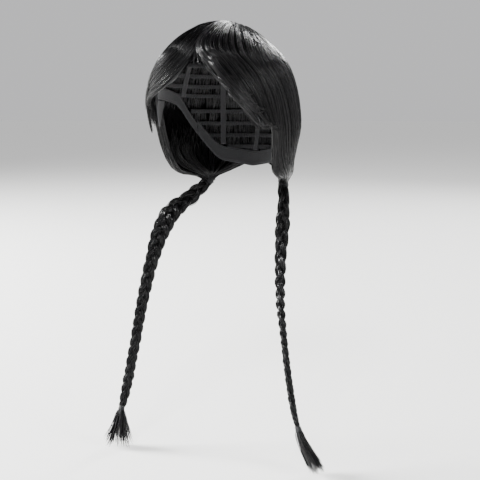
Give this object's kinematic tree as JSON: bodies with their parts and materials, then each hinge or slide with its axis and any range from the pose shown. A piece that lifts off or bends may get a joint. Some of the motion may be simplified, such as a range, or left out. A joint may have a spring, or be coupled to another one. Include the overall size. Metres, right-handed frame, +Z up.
{
  "type": "costume wig",
  "caption": "Hollow costume wig on a stretch cap, with a parted curtain fringe and long hanging plaits that swing and bend, sewn weft rows, ear tabs and nape adjusters.",
  "frame": {"origin": "middle of the head inside the cap, at eye height, which is where the head opening's mount sits", "axes": "+X towards the wearer's left, -Y out of the face, +Z up through the crown"},
  "size_m": [0.277, 0.2426, 0.5204],
  "materials": {
    "combed_hair": "glossy near-black synthetic fibre",
    "plaited_hair": "glossy near-black synthetic fibre, tightly plaited",
    "cap_net": "fine stretch net",
    "crown_skin": "thin matt skin film",
    "weft_tape": "folded and stitched tape",
    "elastic_tape": "woven elastic",
    "steel": "satin",
    "hair_tie": "satin wound band"
  },
  "bodies": {
    "root": {"crown_net": "cap_net", "crown_patch": "crown_skin", "front_band": "elastic_tape", "side_band_left": "elastic_tape", "side_band_right": "elastic_tape", "nape_band": "elastic_tape", "rib_back": "elastic_tape", "rib_back_left": "elastic_tape", "rib_back_right": "elastic_tape", "rib_side_left": "elastic_tape", "rib_side_right": "elastic_tape", "weft_front": "weft_tape", "weft_row_1": "weft_tape", "weft_row_2": "weft_tape", "weft_row_3": "weft_tape", "weft_row_4": "weft_tape", "weft_row_5": "weft_tape", "weft_row_6": "weft_tape", "weft_row_7": "weft_tape", "weft_row_8": "weft_tape", "adjuster_strap_left": "elastic_tape", "adjuster_strap_right": "elastic_tape", "adjuster_loops_left": "elastic_tape", "adjuster_loops_right": "elastic_tape", "hair_crown": "combed_hair", "hair_fringe_left": "combed_hair", "hair_fringe_right": "combed_hair", "hair_side_left": "combed_hair", "hair_side_right": "combed_hair", "hair_back_left": "combed_hair", "hair_back_right": "combed_hair", "pigtail_base_left": "combed_hair", "pigtail_base_right": "combed_hair"},
    "ear_flap_left": {"ear_tab_left": "cap_net", "ear_stay_left": "steel"},
    "hook_left": {"adjuster_hook_left": "steel"},
    "plait_root_left": {"hair_knot_left": "plaited_hair", "root_tie_left": "hair_tie"},
    "plait_upper_left": {"braid_upper_left": "plaited_hair"},
    "plait_lower_left": {"braid_lower_left": "plaited_hair", "end_tie_left": "hair_tie", "tassel_left": "plaited_hair"},
    "ear_flap_right": {"ear_tab_right": "cap_net", "ear_stay_right": "steel"},
    "hook_right": {"adjuster_hook_right": "steel"},
    "plait_root_right": {"hair_knot_right": "plaited_hair", "root_tie_right": "hair_tie"},
    "plait_upper_right": {"braid_upper_right": "plaited_hair"},
    "plait_lower_right": {"braid_lower_right": "plaited_hair", "end_tie_right": "hair_tie", "tassel_right": "plaited_hair"}
  },
  "joints": [
    {"name": "ear_tab_bend_left", "type": "hinge", "parent": "root", "child": "ear_flap_left", "pos_m": [0.07016, -0.03398, 0.019], "axis": [0.2908, 0.9568, 0], "range_deg": [0, 20]},
    {"name": "adjuster_slide_left", "type": "slide", "parent": "root", "child": "hook_left", "axis": [0.7551, -0.6556, 0], "range_m": [-0.004, 0.005]},
    {"name": "plait_spread_left", "type": "hinge", "parent": "root", "child": "plait_root_left", "pos_m": [0.054, 0.062, -0.086], "axis": [0, 1, 0], "range_deg": [-40, 20]},
    {"name": "plait_swing_left", "type": "hinge", "parent": "plait_root_left", "child": "plait_upper_left", "pos_m": [0.054, 0.062, -0.086], "axis": [1, 0, 0], "range_deg": [-20, 35]},
    {"name": "plait_bend_left", "type": "hinge", "parent": "plait_upper_left", "child": "plait_lower_left", "pos_m": [0.084, -0.009, -0.224], "axis": [1, 0, 0], "range_deg": [-30, 30]},
    {"name": "ear_tab_bend_right", "type": "hinge", "parent": "root", "child": "ear_flap_right", "pos_m": [-0.07016, -0.03398, 0.019], "axis": [0.2908, -0.9568, 0], "range_deg": [0, 20]},
    {"name": "adjuster_slide_right", "type": "slide", "parent": "root", "child": "hook_right", "axis": [-0.7551, -0.6556, 0], "range_m": [-0.004, 0.005]},
    {"name": "plait_spread_right", "type": "hinge", "parent": "root", "child": "plait_root_right", "pos_m": [-0.056, 0.06, -0.086], "axis": [0, -1, 0], "range_deg": [-20, 12]},
    {"name": "plait_swing_right", "type": "hinge", "parent": "plait_root_right", "child": "plait_upper_right", "pos_m": [-0.056, 0.06, -0.086], "axis": [1, 0, 0], "range_deg": [-12, 35]},
    {"name": "plait_bend_right", "type": "hinge", "parent": "plait_upper_right", "child": "plait_lower_right", "pos_m": [-0.089, -0.052, -0.228], "axis": [1, 0, 0], "range_deg": [-30, 30]}
  ]
}
